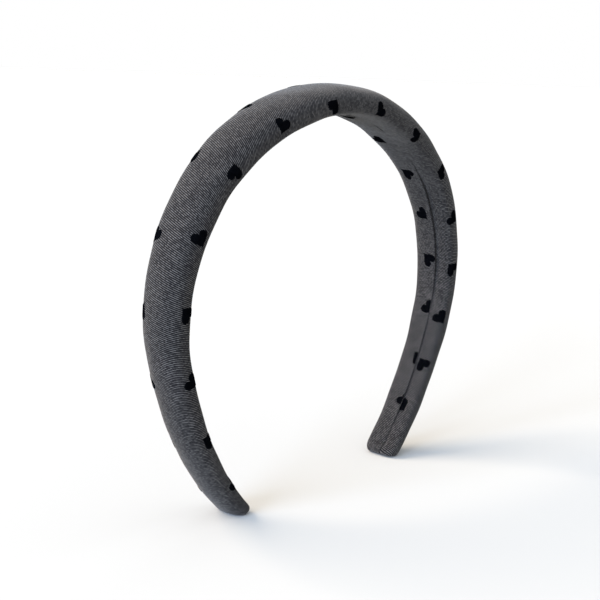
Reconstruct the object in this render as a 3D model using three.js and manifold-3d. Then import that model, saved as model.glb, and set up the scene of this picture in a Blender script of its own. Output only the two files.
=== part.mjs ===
// A padded hair band in twill cloth with flocked hearts, standing on its two tips.
// Millimetres, +Z up. The arch lies in the XZ plane and its front edge faces -Y.
// The origin is on the floor, midway between the tips.
import * as THREE from "three";
import { mergeVertices } from "three/addons/utils/BufferGeometryUtils.js";
import Module from "manifold-3d";

const { clamp, degToRad, smoothstep } = THREE.MathUtils;

// Arcs of the inside's middle line, from the top down to a tip: radius in mm, turn in degrees
const ARCH = [
  { stretch: "crown", radius: 70.8, turn: 44.7 },
  { stretch: "side", radius: 54.5, turn: 59.2 },
  { stretch: "leg", radius: 112, turn: 30 },
];

// Padded section by share of the way from the top to a tip
const PADDING = [
  { share: 0, width: 23.6, thickness: 9.8 },
  { share: 0.36, width: 18.0, thickness: 9.6 },
  { share: 0.7, width: 14.5, thickness: 8.0 },
  { share: 1, width: 13.2, thickness: 6.0 },
];
const CROWN_POWER = 2.26; // superellipse power of the outside, 2 for an ellipse
const INSIDE_POWER = 3.8; // the same for the flatter inside
const WIDEST_SHARE = 0.36; // share of the thickness, from the inside, where the section is widest
const SEAM_SHARE = -0.08; // where the seam runs, as a share of the width from the middle
const LAP_HEIGHT = 0.8; // step where the back edge of the cloth laps over the front edge
const LAP_START = 0.74; // share of the girth where the lap begins to rise
const LAP_NONE = 46; // mm from the top where the lap begins, as the edges are sewn flat under the crown
const LAP_FULL = 70; // mm from the top where it has its full height

// Tips
const TIP_ROUNDING = 2.6; // length over which the end closes in
const TIP_SHARE = 0.68; // share of the section left at the very end
const TIP_CENTRE_SHARE = 0.4; // share of the thickness about which the end closes in
const TIP_CLEARANCE = 1.6; // height of the inside's middle line over the floor at the tip

// Flocked hearts
const HEART_WIDTH = 5.4;
const FLOCK_THICKNESS = 0.4;
const FLOCK_GAP = 0.3;

// Ranks of hearts from the left tip to the right one, on cloth that lies a little askew:
// mm along from the top, mm of cloth from the crown line round to the first heart,
// then mm round and mm along from one heart of the rank to the next
const HEART_RANKS = [
  { along: -155.5, first: -11.6, pitch: 18.5, skew: -1 },
  { along: -134.8, first: -10, pitch: 17, skew: -1 },
  { along: -114.6, first: -11, pitch: 17.4, skew: -0.9 },
  { along: -94, first: -10.9, pitch: 16.9, skew: -0.5 },
  { along: -74, first: -10.8, pitch: 16.4, skew: -1.5 },
  { along: -52.7, first: -10.7, pitch: 16.6, skew: 1.2 },
  { along: -31.7, first: -12.3, pitch: 18.8, skew: 2.3 },
  { along: -9.7, first: -13.9, pitch: 20.5, skew: 1.5 },
  { along: 13.1, first: -15.5, pitch: 20.8, skew: 0.2 },
  { along: 37, first: -14.4, pitch: 17.6, skew: 0.5 },
  { along: 58.5, first: -12.7, pitch: 16.5, skew: -0.6 },
  { along: 78.3, first: -11.7, pitch: 16.2, skew: -1.2 },
  { along: 96.4, first: -12.4, pitch: 16, skew: -1.4 },
  { along: 115.2, first: -13, pitch: 16.6, skew: -1.3 },
  { along: 133.1, first: -14.5, pitch: 17.1, skew: -1 },
  { along: 150.6, first: -15.7, pitch: 17.6, skew: -1 },
];
// Rows from the front round to the inside, and degrees from the band's length to the way they point
const HEART_ROWS = [
  { row: "front", turn: 45 },
  { row: "back", turn: -30 },
  { row: "inside", turn: 45 },
];
const SEAM_MARGIN = 0.3; // cloth left bare beside the seam where a heart is cut by it
const SEAM_BLOCK = 16; // side of the block that trims a heart past the seam
const CUT_TOLERANCE = 0.05; // slivers thinner than this are smoothed off a trimmed heart
const LEAST_HEART_SHARE = 0.2; // a heart cut smaller than this share is left off

// Faceting
const BODY_STATIONS = 52;
const TIP_STATIONS = 4;
const GIRTH_STEPS = 28;
const HEART_STEPS = 16;
const HEART_RING_SHARE = 0.55; // an inner ring that lets a heart bend with the cloth

// Floor block that flattens the tips where they rest
const FLOOR_BLOCK = { length: 300, depth: 80, height: 40 };

const CLOTH = new THREE.MeshStandardMaterial({ color: 0x55555a, roughness: 0.95, metalness: 0 });
const FLOCK = new THREE.MeshStandardMaterial({ color: 0x0a0c10, roughness: 1, metalness: 0 });

const halfLength = ARCH.reduce((sum, arc) => sum + arc.radius * degToRad(arc.turn), 0);

// The inside's middle line at a distance from the top: place, and turn from the level
function archAt(distance) {
  let x = 0;
  let z = 0;
  let angle = 0;
  let rest = distance;
  for (const { radius, turn } of ARCH) {
    const part = Math.min(rest / radius, degToRad(turn));
    x += radius * (Math.sin(angle + part) - Math.sin(angle));
    z += radius * (Math.cos(angle + part) - Math.cos(angle));
    angle += part;
    rest -= part * radius;
  }
  return { x, z, angle };
}

const topHeight = TIP_CLEARANCE - archAt(halfLength).z;

const padding = new THREE.CubicInterpolant(
  PADDING.map((row) => row.share),
  PADDING.flatMap((row) => [row.width, row.thickness]),
  2,
);
padding.settings = { endingStart: THREE.ZeroSlopeEnding, endingEnd: THREE.ZeroCurvatureEnding };

// One section, from the seam's lower edge round the front, over the crown and back to its upper edge.
// In its points x is across the band and y is outwards from the inside face.
class BandSection extends THREE.Curve {
  constructor(along) {
    super();
    const distance = Math.abs(along);
    [this.width, this.thickness] = padding.evaluate(distance / halfLength);
    const past = Math.max(0, distance - halfLength + TIP_ROUNDING) / TIP_ROUNDING;
    this.scale = TIP_SHARE + (1 - TIP_SHARE) * Math.sqrt(1 - past * past);
    this.seamAngle = Math.asin((2 * Math.abs(SEAM_SHARE)) ** (INSIDE_POWER / 2));
    this.lap = LAP_HEIGHT * smoothstep(distance, LAP_NONE, LAP_FULL);
  }

  // Cloth from the crown line round to the seam's lower edge at the front and its upper edge at the back
  edges() {
    const lengths = this.getLengths();
    const crown = lengths[Math.round((0.5 - this.seamAngle / (2 * Math.PI)) * (lengths.length - 1))];
    return { lower: -crown, upper: this.getLength() - crown };
  }

  getPoint(t, target = new THREE.Vector2()) {
    const angle = this.seamAngle - Math.PI + 2 * Math.PI * t;
    const across = Math.sin(angle);
    const out = Math.cos(angle);
    const power = 2 / (out > 0 ? CROWN_POWER : INSIDE_POWER);
    const widest = WIDEST_SHARE * this.thickness;
    const depth = out > 0 ? this.thickness - widest : widest;
    const x = (this.width / 2) * Math.sign(across) * Math.abs(across) ** power;
    const lap = this.lap * smoothstep(t, LAP_START, 1);
    const y = widest + depth * Math.sign(out) * Math.abs(out) ** power - lap;
    const centre = TIP_CENTRE_SHARE * this.thickness;
    return target.set(x * this.scale, centre + (y - centre) * this.scale);
  }
}

// A section's point in the object's frame
function placed(along, point) {
  const { x, z, angle } = archAt(Math.abs(along));
  const side = Math.sign(along);
  const offsetX = side * (x + point.y * Math.sin(angle));
  return new THREE.Vector3(offsetX, point.x, topHeight + z + point.y * Math.cos(angle));
}

// A place on the cloth: mm along from the top, mm round from the crown line, mm above the cloth.
// Past the seam it lies straight ahead of the cloth's edge.
function clothPoint(along, around, lift) {
  const section = new BandSection(along);
  const { lower, upper } = section.edges();
  const onCloth = clamp(around, lower, upper);
  const share = (onCloth - lower) / (upper - lower);
  const tangent = section.getTangentAt(share);
  const point = section.getPointAt(share).addScaledVector(tangent, around - onCloth);
  point.x -= lift * tangent.y;
  point.y += lift * tangent.x;
  return placed(along, point);
}

// A closed surface through rings of points, with a fan from each end ring to its own centre
function skin(rings, firstCentre, lastCentre) {
  const sides = rings[0].length;
  const points = [...rings.flat(), firstCentre, lastCentre];
  const first = points.length - 2;
  const last = points.length - 1;
  const lastRing = (rings.length - 1) * sides;
  const index = [];
  for (let side = 0; side < sides; side += 1) {
    const next = (side + 1) % sides;
    index.push(first, side, next);
    for (let ring = 0; ring < lastRing; ring += sides) {
      const [a, b, c, d] = [ring + side, ring + next, ring + sides + side, ring + sides + next];
      index.push(a, c, b, b, c, d);
    }
    index.push(last, lastRing + next, lastRing + side);
  }
  return new THREE.BufferGeometry().setFromPoints(points).setIndex(index);
}

function centreOf(points) {
  const sum = points.reduce((total, point) => total.add(point), points[0].clone().multiplyScalar(0));
  return sum.divideScalar(points.length);
}

const wasm = await Module();
wasm.setup();

function toSolid(geometry) {
  const bare = geometry.clone();
  bare.deleteAttribute("normal");
  bare.deleteAttribute("uv");
  const merged = mergeVertices(bare);
  const vertProperties = merged.attributes.position.array;
  const triVerts = new Uint32Array(merged.index.array);
  return new wasm.Manifold(new wasm.Mesh({ numProp: 3, vertProperties, triVerts }));
}

function toGeometry(solid) {
  const mesh = solid.getMesh();
  return new THREE.BufferGeometry()
    .setAttribute("position", new THREE.BufferAttribute(mesh.vertProperties, 3))
    .setIndex(new THREE.BufferAttribute(mesh.triVerts, 1));
}

// Places of the sections, even along the body and drawn together where the tips close in
function stations() {
  const body = halfLength - TIP_ROUNDING;
  const places = [];
  for (let step = 0; step <= BODY_STATIONS; step += 1) {
    places.push(body * ((2 * step) / BODY_STATIONS - 1));
  }
  for (let step = 1; step <= TIP_STATIONS; step += 1) {
    const tip = body + TIP_ROUNDING * Math.sin((Math.PI / 2) * (step / TIP_STATIONS));
    places.push(tip);
    places.unshift(-tip);
  }
  return places;
}

// The padded band, cut flat by the floor where its tips rest
function paddedBand() {
  const rings = stations().map((along) => {
    const outline = new BandSection(along).getSpacedPoints(GIRTH_STEPS);
    return outline.map((point) => placed(along, point));
  });
  const band = skin(rings, centreOf(rings[0]), centreOf(rings.at(-1)));
  const { length, depth, height } = FLOOR_BLOCK;
  const floor = new THREE.BoxGeometry(length, depth, height).translate(0, 0, -height / 2);
  return toGeometry(toSolid(band).subtract(toSolid(floor)));
}

// A heart one unit wide that points along +x
function heartOutline() {
  const outline = [];
  for (let step = 0; step < HEART_STEPS; step += 1) {
    const t = (2 * Math.PI * step) / HEART_STEPS;
    const height = 13 * Math.cos(t) - 5 * Math.cos(2 * t) - 2 * Math.cos(3 * t) - Math.cos(4 * t);
    outline.push(new THREE.Vector2(-(height + 2.5) / 32, 16 * Math.sin(t) ** 3 / 32));
  }
  return outline;
}

// What is left of a heart that reaches the seam: its largest piece on its own side, or null if that is small
function cutAtSeam(heart, along, side) {
  const section = new BandSection(along);
  const edge = placed(along, section.getPoint(side > 0 ? 1 : 0));
  const shift = side * (SEAM_MARGIN - SEAM_BLOCK / 2);
  const block = new THREE.BoxGeometry(SEAM_BLOCK, SEAM_BLOCK, SEAM_BLOCK);
  block.translate(edge.x, edge.y + shift, edge.z);
  const whole = toSolid(heart);
  const pieces = whole.subtract(toSolid(block)).decompose();
  const [largest] = pieces.sort((a, b) => b.volume() - a.volume());
  const kept = largest ? largest.volume() / whole.volume() : 0;
  return kept < LEAST_HEART_SHARE ? null : toGeometry(largest.simplify(CUT_TOLERANCE));
}

// One heart, bent to the cloth and cut where it meets the seam, or null where the seam hides it
function heart(along, around, turn) {
  const stretch = clothPoint(along + 1, around, 0).distanceTo(clothPoint(along - 1, around, 0)) / 2;
  const outline = heartOutline().map((point) =>
    point.multiplyScalar(HEART_WIDTH).rotateAround(new THREE.Vector2(), degToRad(turn)),
  );
  const at = (point, share, lift) =>
    clothPoint(along + (point.x * share) / stretch, around + point.y * share, lift);
  const top = FLOCK_GAP + FLOCK_THICKNESS;
  const rings = [
    outline.map((point) => at(point, HEART_RING_SHARE, FLOCK_GAP)),
    outline.map((point) => at(point, 1, FLOCK_GAP)),
    outline.map((point) => at(point, 1, top)),
    outline.map((point) => at(point, HEART_RING_SHARE, top)),
  ];
  const whole = skin(rings, at(outline[0], 0, FLOCK_GAP), at(outline[0], 0, top));
  const { lower, upper } = new BandSection(along).edges();
  const reach = outline.map((point) => around + point.y);
  if (Math.max(...reach) > upper - SEAM_MARGIN) return cutAtSeam(whole, along, 1);
  if (Math.min(...reach) < lower + SEAM_MARGIN) return cutAtSeam(whole, along, -1);
  return whole;
}

function named(name, geometry, material) {
  const mesh = new THREE.Mesh(geometry, material.clone());
  mesh.name = name;
  return mesh;
}

// The hearts in rows along the band, every second rank turned about
function hearts() {
  const group = new THREE.Group();
  HEART_ROWS.forEach(({ row, turn }, step) => {
    HEART_RANKS.forEach(({ along, first, pitch, skew }, place) => {
      const rank = String(place + 1).padStart(2, "0");
      const about = 180 * ((place + 1) % 2);
      const geometry = heart(along + step * skew, first + step * pitch, turn + about);
      if (geometry) group.add(named(`heart_${row}_${rank}`, geometry, FLOCK));
    });
  });
  return group;
}

const headband = new THREE.Group();
headband.add(named("padded_band", paddedBand(), CLOTH), hearts());

export default headband;
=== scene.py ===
import math

import bmesh
import bpy
import numpy as np
from mathutils import Matrix, Vector


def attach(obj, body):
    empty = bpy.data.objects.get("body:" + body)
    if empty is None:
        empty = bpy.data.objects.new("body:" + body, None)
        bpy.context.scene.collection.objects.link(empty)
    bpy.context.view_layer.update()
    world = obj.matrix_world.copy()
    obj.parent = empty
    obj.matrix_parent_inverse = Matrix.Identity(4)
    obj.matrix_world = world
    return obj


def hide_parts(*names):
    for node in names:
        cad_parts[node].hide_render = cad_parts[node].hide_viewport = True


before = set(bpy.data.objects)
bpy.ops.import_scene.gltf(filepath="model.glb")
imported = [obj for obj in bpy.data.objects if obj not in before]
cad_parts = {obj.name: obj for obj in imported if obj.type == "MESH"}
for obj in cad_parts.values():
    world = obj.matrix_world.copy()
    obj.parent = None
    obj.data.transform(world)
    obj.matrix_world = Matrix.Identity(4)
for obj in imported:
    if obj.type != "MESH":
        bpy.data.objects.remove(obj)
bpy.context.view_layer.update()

# A padded hair band in twill cloth with flocked hearts, standing on its two tips.
# Shapes are worked out in millimetres and placed in metres.
MM = 0.001

# Arcs of the inside's middle line, from the top down to a tip: radius in mm, turn in degrees,
# and mm of cloth before it was stretched for each mm along
ARCH = [
    {"stretch": "crown", "radius": 70.8, "turn": 44.7, "cloth": 0.915},
    {"stretch": "side", "radius": 54.5, "turn": 59.2, "cloth": 1.015},
    {"stretch": "leg", "radius": 112.0, "turn": 30.0, "cloth": 0.955},
]

# Padded section by share of the way from the top to a tip
PADDING = [
    {"share": 0.0, "width": 23.6, "thickness": 9.8},
    {"share": 0.36, "width": 18.0, "thickness": 9.6},
    {"share": 0.7, "width": 14.5, "thickness": 8.0},
    {"share": 1.0, "width": 13.2, "thickness": 6.0},
]
CROWN_POWER = 2.26  # superellipse power of the outside, 2 for an ellipse
INSIDE_POWER = 3.8  # the same for the flatter inside
WIDEST_SHARE = 0.36  # share of the thickness, from the inside, where the section is widest
SEAM_SHARE = -0.08  # where the seam runs, as a share of the width from the middle
LAP_HEIGHT = 0.8  # step where the back edge of the cloth laps over the front edge
LAP_START = 0.74  # share of the girth where the lap begins to rise
LAP_NONE = 46.0  # mm from the top where the lap begins, as the edges are sewn flat under the crown
LAP_FULL = 70.0  # mm from the top where it has its full height
LAP_PRESSED = {"from": 86.0, "to": 112.0, "share": 0.5}  # where and how far the legs press it flat

# Tips
TIP_ROUNDING = 2.6  # length over which the end closes in
TIP_SHARE = 0.68  # share of the thickness left where the end's face begins
TIP_SIDE_ROUNDING = 4.0  # length over which the end's sides draw in
TIP_SIDE_SHARE = 0.6  # share of the width left where the end's face begins
TIP_CENTRE_SHARE = 0.4  # share of the thickness about which the end closes in
TIP_CLEARANCE = 1.6  # height of the inside's middle line over the floor at the tip
TIP_BULGE = 0.5  # how far the end's face swells out
FLOOR_SOFTNESS = 0.9  # height over which the padding flattens on to the floor

# Folded edge of the lapped seam
LIP = 0.62  # thickness of the folded edge
SLOT_REACH = 0.8  # how far the slot runs in under the folded edge
SLOT_SHARES = [1.0, 0.5]  # points inside the slot, as shares of its reach
SLOT_SINK = 0.3  # how far the front edge dips on its way under
SLOT_FADE = 1.3  # length of cloth over which that dip fades
LEAST_SEAM = 0.03  # what is left of the folded edge where the seam is sewn flat
DIMPLE = {"from_tip": 4.6, "length": 1.7, "width": 1.1, "depth": 0.8}

# Soft unevenness of the padding: height in mm, waves along the half band, waves round it, shift
SWELLS = [
    {"height": 0.10, "along": 7.0, "around": 1.0, "shift": 0.4},
    {"height": 0.07, "along": 13.0, "around": -2.0, "shift": 2.1},
    {"height": 0.05, "along": 23.0, "around": 3.0, "shift": 4.0},
]
PUCKER = {"height": 0.07, "pitch": 4.3, "reach": 2.4}  # little pulls beside the seam

# Flocked hearts
HEART_WIDTH = 5.4
HEART_WAVES = [13, -5, -2, -1]  # cosine waves that add up to a heart's length
HEART_HALF_WIDTH = 16  # cubed sine wave of its width, in the same units
HEART_MIDDLE = -2.5  # middle of its length, in the same units
FLOCK_SPREAD = 0.1  # how far the fibres lean out past a heart's outline
FLOCK_HEIGHT = 0.16
FLOCK_SQUARENESS = 9  # how square the edge of the flock is, 2 for a dome
FLOCK_ROOT = -0.15  # how far below the cloth the flock begins
FLOCK_FRAY = 0.025  # unevenness of a heart's outline, as a share of its size
HEART_SEED = 7
STRETCH_REACH = 1.0  # mm each way over which the cloth's stretch at a heart is measured

# Ranks of hearts from the left tip to the right one, on cloth that lies a little askew:
# mm along from the top, mm of cloth from the crown line round to the first heart,
# then mm round and mm along from one heart of the rank to the next
HEART_RANKS = [
    {"along": -155.5, "first": -11.6, "pitch": 18.5, "skew": -1.0},
    {"along": -134.8, "first": -10.0, "pitch": 17.0, "skew": -1.0},
    {"along": -114.6, "first": -11.0, "pitch": 17.4, "skew": -0.9},
    {"along": -94.0, "first": -10.9, "pitch": 16.9, "skew": -0.5},
    {"along": -74.0, "first": -10.8, "pitch": 16.4, "skew": -1.5},
    {"along": -52.7, "first": -10.7, "pitch": 16.6, "skew": 1.2},
    {"along": -31.7, "first": -12.3, "pitch": 18.8, "skew": 2.3},
    {"along": -9.7, "first": -13.9, "pitch": 20.5, "skew": 1.5},
    {"along": 13.1, "first": -15.5, "pitch": 20.8, "skew": 0.2},
    {"along": 37.0, "first": -14.4, "pitch": 17.6, "skew": 0.5},
    {"along": 58.5, "first": -12.7, "pitch": 16.5, "skew": -0.6},
    {"along": 78.3, "first": -11.7, "pitch": 16.2, "skew": -1.2},
    {"along": 96.4, "first": -12.4, "pitch": 16.0, "skew": -1.4},
    {"along": 115.2, "first": -13.0, "pitch": 16.6, "skew": -1.3},
    {"along": 133.1, "first": -14.5, "pitch": 17.1, "skew": -1.0},
    {"along": 150.6, "first": -15.7, "pitch": 17.6, "skew": -1.0},
]
# Rows from the front round to the inside, and degrees from the band's length to the way they point
HEART_ROWS = [
    {"row": "front", "turn": 45.0},
    {"row": "back", "turn": -30.0},
    {"row": "inside", "turn": 45.0},
]

# Fineness of the meshes
BODY_STATIONS = 500
TIP_STATIONS = 10
END_RINGS = 7
GIRTH_STEPS = 104
SEAM_CROWDING = 0.55  # how far the steps round the girth crowd towards the seam
SECTION_SAMPLES = 300
LIP_STEPS = 6
HEART_STEPS = 80
HEART_RINGS = [0.15, 0.3, 0.45, 0.6, 0.73, 0.84, 0.92, 0.97, 1.0]

# Twill cloth: mm from one slanting line to the next, along the band and round it
TWILL = {"along": 0.54, "around": 1.39}
FLOAT_LENGTH = 0.6  # mm of thread that shows at a time
FLOAT_BRIGHTNESS = (0.3, 1.0)  # each such length has its own
THREAD = 0.18  # mm from one light thread to the next
THREAD_GAP = 0.75  # brightness between two threads
LINE_SHARPNESS = 2.4  # how narrow the light lines are, 1 for as wide as the dark ones
# Slant of the light threads, mm along for each mm round, at the top and on the legs,
# and the mm from the top over which it changes
GRAIN_SLANT = {"top": -0.09, "leg": 0.16, "from": 10.0, "to": 125.0}
LIGHT_THREAD = (0.134, 0.131, 0.128, 1)
DARK_THREAD = (0.0025, 0.0025, 0.004, 1)
# Patches of cloth: mm across, fineness of their noise, and brightness
MOTTLE = {"size": 6.0, "detail": 4.0, "low": 0.88, "high": 1.12}
THREAD_RELIEF = 0.04  # mm
CLOTH_FINISH = {
    "Roughness": 1.0,
    "Specular IOR Level": 0.05,
    "Sheen Weight": 0.17,
    "Sheen Roughness": 0.4,
}

# Black flock: mm of a fibre and of a worn patch, fineness of their noise,
# the noise that shows as a fibre, and the least wear
FIBRE = {"size": 0.11, "detail": 1.0, "low": 0.35, "high": 0.75}
WORN_PATCH = {"size": 1.4, "detail": 2.0, "least": 0.3}
FLOCK_DEEP = (0.0007, 0.0008, 0.0012, 1)
FLOCK_WORN = (0.0034, 0.004, 0.0056, 1)
FLOCK_RELIEF = 0.1  # mm
FLOCK_FINISH = {"Roughness": 1.0, "Specular IOR Level": 0.0}

NOISE_SPAN = (0.3, 0.7)  # where most of a noise's values lie

# Floor, tinted against the lights so that it looks white
FLOOR_RADIUS = 6000.0
FLOOR_SIDES = 96
FLOOR_FINISH = {
    "Base Color": (0.483, 0.51, 0.527, 1),
    "Roughness": 1.0,
    "Specular IOR Level": 0.0,
}

# Wide distant lights: degrees round from the front towards +X, and degrees up
LIGHTS = [
    {"name": "key", "azimuth": -90, "elevation": 12, "strength": 5.4, "colour": (0.82, 0.97, 1.24)},
    {"name": "rim", "azimuth": -150, "elevation": 40, "strength": 3.2, "colour": (1.25, 1.0, 0.75)},
]
LIGHT_SPREAD = 40  # degrees across
SURROUNDINGS = {"Color": (1, 1, 1, 1), "Strength": 1.0}

# The photograph's view: degrees, millimetres, and the focal length in pixels of its frame
CAMERA = {"azimuth": -49.77, "elevation": 11.82, "roll": 2.01, "distance": 390.7, "focal": 1195.2}
CAMERA_AIM = (-9.98, 0.0, 64.68)
CAMERA_NEAREST = 10.0  # mm
FRAME_PIXELS = 600
SENSOR_WIDTH = 36.0

HALF_LENGTH = sum(arc["radius"] * math.radians(arc["turn"]) for arc in ARCH)
SEAM_ANGLE = math.asin((2 * abs(SEAM_SHARE)) ** (INSIDE_POWER / 2))


def column(table, name):
    return np.array([row[name] for row in table])


def smoothstep(value, low, high):
    """0 up to low, 1 from high, and a smooth rise between them"""
    share = np.clip((value - low) / (high - low), 0, 1)
    return share * share * (3 - 2 * share)


def smooth_through(table, name, share):
    """A smooth cubic curve through one column of a table, level at the first row"""
    knots = column(table, "share")
    values = column(table, name)
    chords = np.diff(values) / np.diff(knots)
    slopes = np.concatenate([[0.0], (chords[1:] + chords[:-1]) / 2, chords[-1:]])
    knot = np.clip(np.searchsorted(knots, share) - 1, 0, len(knots) - 2)
    step = knots[knot + 1] - knots[knot]
    way = (share - knots[knot]) / step
    start = (2 * way**3 - 3 * way**2 + 1) * values[knot]
    start += (way**3 - 2 * way**2 + way) * step * slopes[knot]
    end = (3 * way**2 - 2 * way**3) * values[knot + 1]
    end += (way**3 - way**2) * step * slopes[knot + 1]
    return start + end


def arch_at(distance):
    """The inside's middle line at distances from the top: place, and turn from the level"""
    x = np.zeros_like(distance)
    z = np.zeros_like(distance)
    angle = np.zeros_like(distance)
    rest = np.array(distance)
    for arc in ARCH:
        radius = arc["radius"]
        part = np.minimum(rest / radius, math.radians(arc["turn"]))
        x += radius * (np.sin(angle + part) - np.sin(angle))
        z += radius * (np.cos(angle + part) - np.cos(angle))
        angle += part
        rest -= part * radius
    return x, z, angle


TOP_HEIGHT = TIP_CLEARANCE - arch_at(np.array([HALF_LENGTH]))[1][0]


def closing(along, length, end_share):
    """Share of a section's size that is left where a tip closes in over a length"""
    past = np.clip((np.abs(along) - HALF_LENGTH + length) / length, 0, 1)
    return end_share + (1 - end_share) * np.sqrt(1 - past**2)


def seam_strength(along):
    """How far the seam's lap stands up: not under the crown, fully on the sides, half on the legs"""
    distance = np.abs(along)
    risen = smoothstep(distance, LAP_NONE, LAP_FULL)
    pressed = LAP_PRESSED["share"] * smoothstep(distance, LAP_PRESSED["from"], LAP_PRESSED["to"])
    return risen * (1 - pressed)


def sections(along):
    """Section outlines at places along the band, from the seam's front edge round to its back edge.
    Gives each one's points across and outwards, and their mm of cloth from the crown line."""
    share = np.abs(along)[:, None] / HALF_LENGTH
    width = smooth_through(PADDING, "width", share)
    thickness = smooth_through(PADDING, "thickness", share)
    girth = np.linspace(0, 1, SECTION_SAMPLES + 1)[None, :]
    angle = SEAM_ANGLE - math.pi + 2 * math.pi * girth
    out = np.cos(angle)
    power = np.where(out > 0, 2 / CROWN_POWER, 2 / INSIDE_POWER)
    widest = WIDEST_SHARE * thickness
    depth = np.where(out > 0, thickness - widest, widest)
    across = width / 2 * np.sign(np.sin(angle)) * np.abs(np.sin(angle)) ** power
    lap = LAP_HEIGHT * seam_strength(along)[:, None] * smoothstep(girth, LAP_START, 1)
    outward = widest + depth * np.sign(out) * np.abs(out) ** power - lap
    centre = TIP_CENTRE_SHARE * thickness
    across = across * closing(along, TIP_SIDE_ROUNDING, TIP_SIDE_SHARE)[:, None]
    outward = centre + (outward - centre) * closing(along, TIP_ROUNDING, TIP_SHARE)[:, None]
    steps = np.hypot(np.diff(across, axis=1), np.diff(outward, axis=1))
    cloth = np.concatenate([np.zeros((len(along), 1)), np.cumsum(steps, axis=1)], axis=1)
    crown_share = (math.pi - SEAM_ANGLE) / (2 * math.pi)
    crown = np.array([np.interp(crown_share, girth[0], row) for row in cloth])
    return across, outward, cloth - crown[:, None]


def swell(along, around):
    """Soft unevenness of the padding, in mm"""
    total = np.zeros(np.broadcast(along, around).shape)
    for row in SWELLS:
        wave = row["along"] * along / HALF_LENGTH + row["around"] * around / PADDING[0]["width"]
        total += row["height"] * np.sin(math.pi * wave + row["shift"])
    return total


def place(along, across, outward):
    """Points of sections in the object's frame, in mm, flattened softly where they meet the floor"""
    x, z, angle = arch_at(np.abs(along))
    height = TOP_HEIGHT + z + outward * np.cos(angle)
    low = FLOOR_SOFTNESS * np.exp(np.minimum(height / FLOOR_SOFTNESS - 1, 0))
    height = np.where(height < FLOOR_SOFTNESS, low, height)
    return np.stack([np.sign(along) * (x + outward * np.sin(angle)), across, height], axis=-1)


def cloth_points(along, around, lift):
    """Places on the cloth: mm along from the top, mm round from the crown line, mm above the cloth.
    There is one value along for each row of around.
    Past the seam a place lies straight ahead of the edge."""
    across, outward, cloth = sections(along)
    x = np.empty_like(around)
    y = np.empty_like(around)
    for row, wanted in enumerate(around):
        on_cloth = np.clip(wanted, cloth[row, 0], cloth[row, -1])
        past = wanted - on_cloth
        ahead_x = np.interp(on_cloth, cloth[row], np.gradient(across[row], cloth[row]))
        ahead_y = np.interp(on_cloth, cloth[row], np.gradient(outward[row], cloth[row]))
        raised = lift[row] + swell(along[row], wanted)
        x[row] = np.interp(on_cloth, cloth[row], across[row]) + past * ahead_x - raised * ahead_y
        y[row] = np.interp(on_cloth, cloth[row], outward[row]) + past * ahead_y + raised * ahead_x
    return x, y


def new_piece(name, points, faces, material):
    """A smooth mesh object from points in mm"""
    mesh = bpy.data.meshes.new(name)
    mesh.from_pydata((points * MM).tolist(), [], faces)
    mesh.validate()
    mesh.shade_smooth()
    mesh.materials.append(material)
    piece = bpy.data.objects.new(name, mesh)
    bpy.context.scene.collection.objects.link(piece)
    return piece


def closed_faces(rings, sides):
    """Faces over rings that follow each other in a list of points: quads from ring to ring,
    then triangles to the two last points, which close the first ring and the last one"""
    faces = []
    for ring in range(rings - 1):
        here = ring * sides
        ahead = here + sides
        for side in range(sides):
            following = (side + 1) % sides
            faces.append((here + side, ahead + side, ahead + following, here + following))
    first_point = rings * sides
    last_ring = first_point - sides
    for side in range(sides):
        following = (side + 1) % sides
        faces.append((first_point, side, following))
        faces.append((first_point + 1, last_ring + following, last_ring + side))
    return faces


def stations():
    """Places of the band's sections, even along the body and drawn together as the tips close in"""
    body = HALF_LENGTH - TIP_ROUNDING
    even = np.linspace(-body, body, BODY_STATIONS)
    turn = np.linspace(0, math.pi / 2, TIP_STATIONS + 1)[1:]
    tip = body + TIP_ROUNDING * np.sin(turn)
    return np.concatenate([-tip[::-1], even, tip])


def seam_depth(along, from_seam):
    """How far the cloth sinks beside the seam, with a dimple where the seam ends at each tip"""
    pulls = (1 - np.cos(2 * math.pi * along / PUCKER["pitch"])) / 2
    pucker = PUCKER["height"] * pulls * np.exp(-((from_seam / PUCKER["reach"]) ** 2))
    from_dimple = (HALF_LENGTH - np.abs(along) - DIMPLE["from_tip"]) / DIMPLE["length"]
    dimple = DIMPLE["depth"] * np.exp(-(from_dimple**2) - (from_seam / DIMPLE["width"]) ** 2)
    return pucker + dimple


def band_rings(along):
    """Rings of the band's cloth with the folded edge of the seam: across, outwards, and mm round"""
    cloth = sections(along)[2]
    lower = cloth[:, :1]
    upper = cloth[:, -1:]
    even = np.linspace(0, 1, GIRTH_STEPS + 1)
    share = even - SEAM_CROWDING * np.sin(2 * math.pi * even) / (2 * math.pi)
    around = lower + share[None, :] * (upper - lower)
    from_seam = np.minimum(around - lower, upper - around)
    scale = closing(along, TIP_ROUNDING, TIP_SHARE)[:, None]
    strength = np.maximum(seam_strength(along), LEAST_SEAM)[:, None] * scale
    dip = SLOT_SINK * strength * np.exp(-(((around - lower) / SLOT_FADE) ** 2))
    x, y = cloth_points(along, around, -scale * seam_depth(along[:, None], from_seam) - dip)

    turn = np.linspace(0, math.pi, LIP_STEPS + 1)[1:][None, :]
    radius = LIP / 2 * strength
    lip_x = x[:, -1:] - radius * np.sin(turn)
    lip_y = y[:, -1:] + radius * (1 - np.cos(turn))
    lip_around = upper + radius * turn

    reach = np.array(SLOT_SHARES)[None, :] * SLOT_REACH * strength
    slot_x = x[:, :1] + reach
    slot_y = y[:, :1] + np.zeros_like(reach)
    slot_around = lower - reach
    return (
        np.concatenate([slot_x, x, lip_x], axis=1),
        np.concatenate([slot_y, y, lip_y], axis=1),
        np.concatenate([slot_around, around, lip_around], axis=1),
    )


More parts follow.
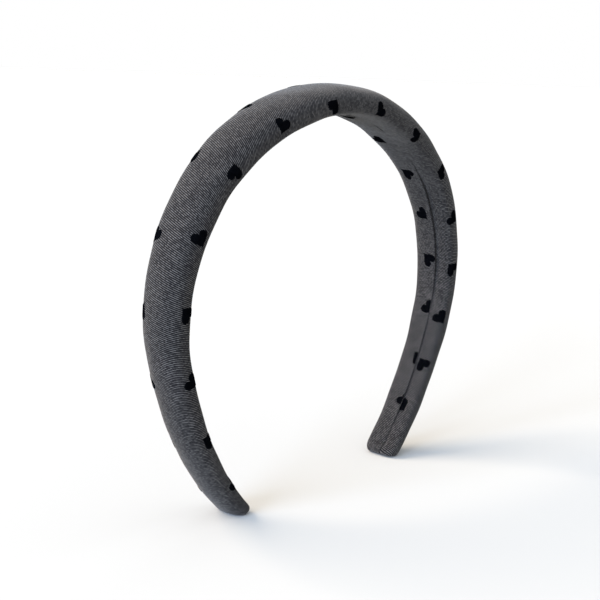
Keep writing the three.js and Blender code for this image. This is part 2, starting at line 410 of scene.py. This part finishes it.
def end_rings(x, y, along):
    """Rings that close an end, drawn in to a point on a face that swells a little, and their map"""
    centre_x = x.mean()
    centre_y = y.mean()
    angle = arch_at(np.array([abs(along)]))[2][0]
    ahead = np.array([math.copysign(math.cos(angle), along), 0.0, -math.sin(angle)])
    rings = []
    for step in range(1, END_RINGS):
        turn = math.pi / 2 * step / END_RINGS
        drawn_x = centre_x + (x - centre_x) * math.cos(turn)
        drawn_y = centre_y + (y - centre_y) * math.cos(turn)
        out = TIP_BULGE * math.sin(turn)
        ring = place(np.full(len(x), along), drawn_x, drawn_y) + ahead * out
        ring[:, 2] = np.maximum(ring[:, 2], 0)
        rings.append((ring, np.stack([drawn_y, drawn_x], axis=-1)))
    return rings


def faces_on_ends(rings, sides):
    """Which of the band's faces lie on the faces of its ends"""
    ring_pairs = np.arange(rings - 1)
    beside_end = np.minimum(ring_pairs, ring_pairs[::-1]) < END_RINGS - 1
    return np.append(np.repeat(beside_end, sides), np.ones(2 * sides, dtype=bool))


def grain_slant(along):
    """How far the light threads run along the band for each mm round it"""
    legs = smoothstep(np.abs(along), GRAIN_SLANT["from"], GRAIN_SLANT["to"])
    return GRAIN_SLANT["top"] + (GRAIN_SLANT["leg"] - GRAIN_SLANT["top"]) * legs


def cloth_length(along):
    """mm of cloth, before it was stretched, from the top to places along the band"""
    rest = np.abs(along)
    total = np.zeros_like(along)
    for arc in ARCH:
        part = np.minimum(rest, arc["radius"] * math.radians(arc["turn"]))
        total += part * arc["cloth"]
        rest = rest - part
    return np.sign(along) * total


def over_tips(along, x, y):
    """mm of cloth that the rounding of the tips takes up beyond the distance along"""
    step = np.diff(along)[:, None]
    extra = np.sqrt(step**2 + np.diff(x, axis=0) ** 2 + np.diff(y, axis=0) ** 2) - step
    between = (along[1:] + along[:-1]) / 2
    extra[np.abs(between) < HALF_LENGTH - TIP_SIDE_ROUNDING] = 0
    left_tip = np.where(between[:, None] < 0, extra, 0)
    total = np.zeros_like(x)
    total[1:] = np.cumsum(extra, axis=0)
    return total - left_tip.sum(axis=0)


def lay_cloth_map(piece, side_map, end_map, on_end):
    """Keeps mm across the light threads and the dark ones on the mesh, straight across the ends"""
    layer = piece.data.uv_layers.new(name="cloth")
    index = np.empty(len(piece.data.loops), dtype=np.int32)
    piece.data.loops.foreach_get("vertex_index", index)
    corners = np.empty(len(piece.data.polygons), dtype=np.int32)
    piece.data.polygons.foreach_get("loop_total", corners)
    at_end = np.repeat(on_end, corners)[:, None]
    corner_map = np.where(at_end, end_map[index], side_map[index])
    layer.data.foreach_set("uv", corner_map.astype(np.float32).ravel())


def padded_band(material):
    """The padded cloth tube with its lapped seam, closed at both tips"""
    along = stations()
    x, y, around = band_rings(along)
    sides = x.shape[1]
    rings = list(place(np.repeat(along[:, None], sides, axis=1), x, y))
    lengthwise = cloth_length(along)[:, None] + over_tips(along, x, y)
    across_threads = lengthwise + grain_slant(along)[:, None] * around
    side_map = list(np.stack([across_threads, around], axis=-1))
    end_map = list(np.stack([y, x], axis=-1))
    for end in (0, -1):
        for ring, face_map in end_rings(x[end], y[end], along[end]):
            spot = len(rings) if end else 0
            rings.insert(spot, ring)
            side_map.insert(spot, face_map)
            end_map.insert(spot, face_map)
    faces = closed_faces(len(rings), sides)
    on_end = faces_on_ends(len(rings), sides)
    for layer in (rings, side_map, end_map):
        layer.append(np.stack([layer[0].mean(axis=0), layer[-1].mean(axis=0)]))
    piece = new_piece("padded_band_cloth", np.concatenate(rings), faces, material)
    lay_cloth_map(piece, np.concatenate(side_map), np.concatenate(end_map), on_end)
    return piece


def heart_outline():
    """A heart one unit wide that points along +x"""
    turn = np.linspace(0, 2 * math.pi, HEART_STEPS, endpoint=False)
    length = sum(wave * np.cos(times * turn) for times, wave in enumerate(HEART_WAVES, start=1))
    side = HEART_HALF_WIDTH * np.sin(turn) ** 3
    width = 2 * HEART_HALF_WIDTH
    return np.stack([-(length - HEART_MIDDLE) / width, side / width], axis=-1)


def flock_profile(share):
    """Height of the flock at a share of the way from a heart's middle to its outline"""
    return FLOCK_HEIGHT * np.sqrt(1 - share**FLOCK_SQUARENESS)


def cloth_stretch(along, around):
    """mm on the cloth for each mm along the inside's middle line"""
    beside = np.array([along - STRETCH_REACH, along + STRETCH_REACH])
    x, y = cloth_points(beside, np.full((2, 1), around), np.zeros((2, 1)))
    ends = place(beside, x[:, 0], y[:, 0])
    return np.linalg.norm(ends[1] - ends[0]) / (2 * STRETCH_REACH)


def heart(name, along, around, turn, material, fray):
    """One flocked heart, bent to the cloth: rings over its top, one at its root, and two middles"""
    angle = math.radians(turn)
    spin = np.array([[math.cos(angle), math.sin(angle)], [-math.sin(angle), math.cos(angle)]])
    outline = heart_outline() * (HEART_WIDTH + 2 * FLOCK_SPREAD)
    outline *= 1 + FLOCK_FRAY * fray.standard_normal((HEART_STEPS, 1))
    outline = outline @ spin
    shares = HEART_RINGS + HEART_RINGS[-1:]
    lifts = np.append(flock_profile(np.array(HEART_RINGS)), FLOCK_ROOT)
    flat = np.concatenate([outline * share for share in shares] + [np.zeros((2, 2))])
    lift = np.concatenate([np.repeat(lifts, HEART_STEPS), [FLOCK_HEIGHT, FLOCK_ROOT]])
    lengthwise = along + flat[:, 0] / cloth_stretch(along, around)
    x, y = cloth_points(lengthwise, around + flat[:, 1:], lift[:, None])
    points = place(lengthwise, x[:, 0], y[:, 0])
    return new_piece(name, points, closed_faces(len(shares), HEART_STEPS), material)


def connected_parts(shape):
    """Groups of a mesh's points that hang together"""
    left = set(shape.verts)
    parts = []
    while left:
        part = [left.pop()]
        for vertex in part:
            near = {edge.other_vert(vertex) for edge in vertex.link_edges} & left
            left -= near
            part.extend(near)
        parts.append(part)
    return parts


def cut_at_seam(piece, along, side):
    """Cuts a heart at the seam's edge and keeps its largest part"""
    across = sections(np.array([along]))[0]
    seam = (0, across[0, -1 if side > 0 else 0] * MM, 0)
    beyond = (0, -side, 0)
    shape = bmesh.new()
    shape.from_mesh(piece.data)
    whole = shape.verts[:] + shape.edges[:] + shape.faces[:]
    bmesh.ops.bisect_plane(shape, geom=whole, plane_co=seam, plane_no=beyond, clear_outer=True)
    bmesh.ops.holes_fill(shape, edges=[edge for edge in shape.edges if edge.is_boundary])
    smaller = sorted(connected_parts(shape), key=len)[:-1]
    bmesh.ops.delete(shape, geom=[vertex for part in smaller for vertex in part], context="VERTS")
    bmesh.ops.recalc_face_normals(shape, faces=shape.faces[:])
    shape.to_mesh(piece.data)
    shape.free()


def hearts(material):
    """The hearts in rows along the band, every second rank turned about, each in its node's place"""
    fray = np.random.default_rng(HEART_SEED)
    for step, row in enumerate(HEART_ROWS):
        for number, rank in enumerate(HEART_RANKS, start=1):
            node = f"heart_{row['row']}_{number:02d}"
            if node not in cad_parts:
                continue
            along = rank["along"] + step * rank["skew"]
            around = rank["first"] + step * rank["pitch"]
            turn = row["turn"] + 180 * (number % 2)
            piece = heart(f"{node}_flock", along, around, turn, material, fray)
            cloth = sections(np.array([along]))[2][0]
            if around + HEART_WIDTH / 2 > cloth[-1]:
                cut_at_seam(piece, along, 1)
            elif around - HEART_WIDTH / 2 < cloth[0]:
                cut_at_seam(piece, along, -1)
            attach(piece, "root")
            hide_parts(node)


def feed(tree, socket, value):
    """Links a node's output to a socket, or sets the socket's own value"""
    if isinstance(value, bpy.types.NodeSocket):
        tree.links.new(value, socket)
    else:
        socket.default_value = value


def math_node(tree, operation, *values):
    node = tree.nodes.new("ShaderNodeMath")
    node.operation = operation
    for socket, value in zip(node.inputs, values):
        feed(tree, socket, value)
    return node.outputs[0]


def wave_node(tree, value, pitch):
    """A cosine wave that repeats after each pitch of a value"""
    return math_node(tree, "COSINE", math_node(tree, "MULTIPLY", value, 2 * math.pi / pitch))


def noise_node(tree, vector, scale, detail):
    node = tree.nodes.new("ShaderNodeTexNoise")
    feed(tree, node.inputs["Vector"], vector)
    node.inputs["Scale"].default_value = scale
    node.inputs["Detail"].default_value = detail
    return node.outputs["Fac"]


def range_node(tree, value, low, high, to_low, to_high):
    node = tree.nodes.new("ShaderNodeMapRange")
    for socket, setting in zip(node.inputs, (value, low, high, to_low, to_high)):
        feed(tree, socket, setting)
    return node.outputs[0]


def combine_node(tree, x, y):
    node = tree.nodes.new("ShaderNodeCombineXYZ")
    feed(tree, node.inputs["X"], x)
    feed(tree, node.inputs["Y"], y)
    return node.outputs[0]


def mix_colours(tree, share, first, second):
    node = tree.nodes.new("ShaderNodeMix")
    node.data_type = "RGBA"
    feed(tree, node.inputs["Factor"], share)
    feed(tree, node.inputs["A"], first)
    feed(tree, node.inputs["B"], second)
    return node.outputs["Result"]


def bump_node(tree, height, distance, shader):
    node = tree.nodes.new("ShaderNodeBump")
    node.inputs["Distance"].default_value = distance
    tree.links.new(height, node.inputs["Height"])
    tree.links.new(node.outputs["Normal"], shader.inputs["Normal"])


def set_finish(shader, finish):
    """Sets a shader's own values by the names of its sockets"""
    for name, value in finish.items():
        shader.inputs[name].default_value = value


def new_material(name, finish):
    material = bpy.data.materials.new(name)
    material.use_nodes = True
    tree = material.node_tree
    shader = tree.nodes["Principled BSDF"]
    set_finish(shader, finish)
    return material, tree, shader


def float_brightness(tree, lines, around):
    """A brightness for each length of light thread that shows"""
    own = tree.nodes.new("ShaderNodeTexWhiteNoise")
    own.noise_dimensions = "2D"
    line_number = math_node(tree, "FLOOR", lines)
    float_number = math_node(tree, "FLOOR", math_node(tree, "DIVIDE", around, FLOAT_LENGTH))
    tree.links.new(combine_node(tree, line_number, float_number), own.inputs["Vector"])
    return range_node(tree, own.outputs["Value"], 0, 1, *FLOAT_BRIGHTNESS)


def twill_cloth():
    """Grey twill: light threads that show in slanting lines on dark ones"""
    material, tree, shader = new_material("twill_cloth", CLOTH_FINISH)
    cloth_map = tree.nodes.new("ShaderNodeUVMap")
    cloth_map.uv_map = "cloth"
    parts = tree.nodes.new("ShaderNodeSeparateXYZ")
    tree.links.new(cloth_map.outputs["UV"], parts.inputs[0])
    along = parts.outputs["X"]
    around = parts.outputs["Y"]
    lines = math_node(
        tree,
        "SUBTRACT",
        math_node(tree, "DIVIDE", along, TWILL["along"]),
        math_node(tree, "DIVIDE", around, TWILL["around"]),
    )
    ridge = range_node(tree, wave_node(tree, lines, 1), 1, -1, 0, 1)
    light_line = math_node(tree, "POWER", ridge, LINE_SHARPNESS)
    thread = range_node(tree, wave_node(tree, along, THREAD), -1, 1, THREAD_GAP, 1)
    bright = float_brightness(tree, lines, around)
    patches = noise_node(tree, cloth_map.outputs["UV"], 1 / MOTTLE["size"], MOTTLE["detail"])
    mottle = range_node(tree, patches, *NOISE_SPAN, MOTTLE["low"], MOTTLE["high"])
    shown = math_node(tree, "MULTIPLY", math_node(tree, "MULTIPLY", light_line, thread), bright)
    lightness = math_node(tree, "MULTIPLY", shown, mottle)
    colour = mix_colours(tree, lightness, DARK_THREAD, LIGHT_THREAD)
    tree.links.new(colour, shader.inputs["Base Color"])
    bump_node(tree, ridge, THREAD_RELIEF * MM, shader)
    return material


def black_flock():
    """Short black flock: tiny fibres that stand on the cloth, dull and a little blue"""
    material, tree, shader = new_material("black_flock", FLOCK_FINISH)
    where = tree.nodes.new("ShaderNodeTexCoord").outputs["Object"]
    fibres = noise_node(tree, where, 1 / (FIBRE["size"] * MM), FIBRE["detail"])
    patches = noise_node(tree, where, 1 / (WORN_PATCH["size"] * MM), WORN_PATCH["detail"])
    fleck = range_node(tree, fibres, FIBRE["low"], FIBRE["high"], 0, 1)
    wear = range_node(tree, patches, *NOISE_SPAN, WORN_PATCH["least"], 1)
    worn = math_node(tree, "MULTIPLY", fleck, wear)
    tree.links.new(mix_colours(tree, worn, FLOCK_DEEP, FLOCK_WORN), shader.inputs["Base Color"])
    bump_node(tree, fibres, FLOCK_RELIEF * MM, shader)
    return material


def pale_floor():
    """A wide round floor under the band"""
    material = new_material("pale_floor", FLOOR_FINISH)[0]
    bpy.ops.mesh.primitive_circle_add(
        vertices=FLOOR_SIDES, radius=FLOOR_RADIUS * MM, fill_type="NGON"
    )
    floor = bpy.context.object
    floor.name = "floor"
    floor.data.materials.append(material)


def direction(azimuth, elevation):
    """The way to a place in degrees round from the front towards +X, and degrees up"""
    turn = math.radians(azimuth)
    height = math.radians(elevation)
    level = math.cos(height)
    return Vector((math.sin(turn) * level, -math.cos(turn) * level, math.sin(height)))


def camera():
    """The camera at the place that the photograph was taken from"""
    azimuth = math.radians(CAMERA["azimuth"])
    roll = math.radians(CAMERA["roll"])
    back = direction(CAMERA["azimuth"], CAMERA["elevation"])
    level = Vector((math.cos(azimuth), math.sin(azimuth), 0))
    upright = back.cross(level)
    right = level * math.cos(roll) + upright * math.sin(roll)
    up = upright * math.cos(roll) - level * math.sin(roll)
    data = bpy.data.cameras.new("camera")
    data.sensor_width = SENSOR_WIDTH
    data.lens = CAMERA["focal"] * SENSOR_WIDTH / FRAME_PIXELS
    data.clip_start = CAMERA_NEAREST * MM
    seen_from = bpy.data.objects.new("camera", data)
    bpy.context.scene.collection.objects.link(seen_from)
    turned = Matrix((right, up, back)).transposed().to_4x4()
    spot = (Vector(CAMERA_AIM) + back * CAMERA["distance"]) * MM
    seen_from.matrix_world = Matrix.Translation(spot) @ turned
    bpy.context.scene.camera = seen_from


def soft_sun(light):
    """One wide distant light"""
    data = bpy.data.lights.new(light["name"], "SUN")
    data.angle = math.radians(LIGHT_SPREAD)
    data.energy = light["strength"]
    data.color = light["colour"]
    lamp = bpy.data.objects.new(light["name"], data)
    bpy.context.scene.collection.objects.link(lamp)
    shines_from = direction(light["azimuth"], light["elevation"])
    lamp.rotation_euler = shines_from.to_track_quat("Z", "Y").to_euler()


def studio():
    """White surroundings and the lights, shown without a film look"""
    world = bpy.data.worlds.new("studio")
    world.use_nodes = True
    set_finish(world.node_tree.nodes["Background"], SURROUNDINGS)
    bpy.context.scene.world = world
    for light in LIGHTS:
        soft_sun(light)
    bpy.context.scene.view_settings.view_transform = "Standard"


camera()
pale_floor()
studio()
band = padded_band(twill_cloth())
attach(band, "root")
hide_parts("padded_band")
hearts(black_flock())
